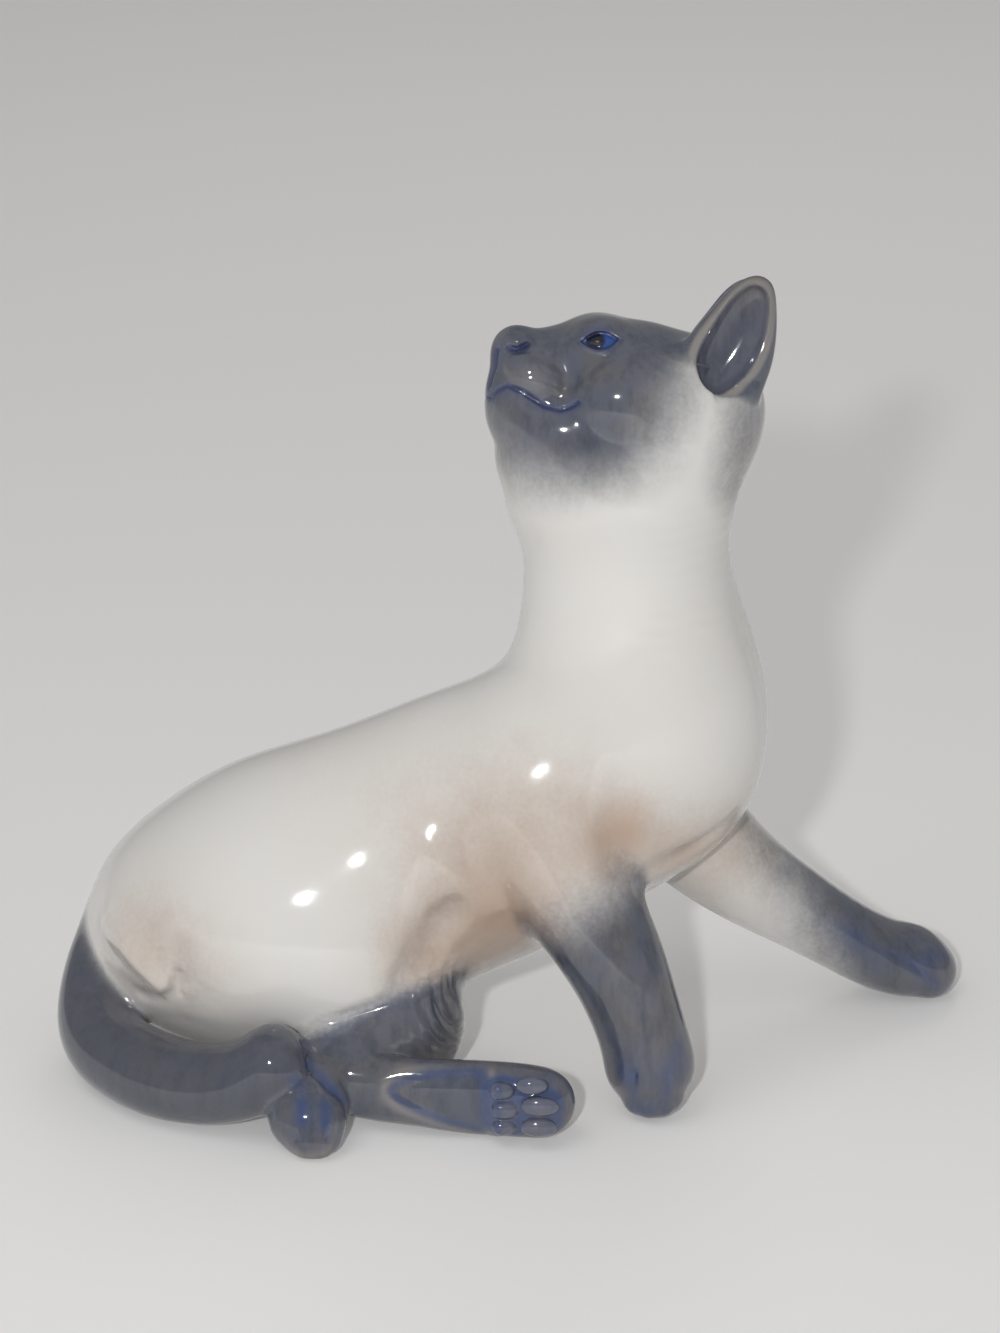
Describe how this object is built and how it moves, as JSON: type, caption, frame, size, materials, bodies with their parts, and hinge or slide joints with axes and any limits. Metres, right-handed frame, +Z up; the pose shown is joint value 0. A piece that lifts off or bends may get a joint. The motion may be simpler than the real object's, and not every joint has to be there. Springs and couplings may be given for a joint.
{
  "type": "ceramic cat figurine",
  "caption": "Glazed porcelain cat half reclining on one hip, forelegs braced and chin raised, slip-cast pieces joined as one figure.",
  "frame": {"origin": "middle of the base, on the surface that the figure rests on", "axes": "+X along the figure towards the outstretched forepaw, +Y away from the side that shows the sole, +Z up"},
  "size_m": [0.2098, 0.0915, 0.1853],
  "materials": {
    "body_glaze": "clear gloss glaze over white porcelain",
    "point_glaze": "clear gloss glaze over grey-blue underglaze"
  },
  "bodies": {
    "root": {"trunk": "body_glaze", "head": "point_glaze", "ear_left": "point_glaze", "ear_right": "point_glaze", "foreleg_left": "point_glaze", "foreleg_right": "point_glaze", "hind_leg_left": "point_glaze", "hind_leg_right": "point_glaze", "tail": "point_glaze"}
  },
  "joints": []
}
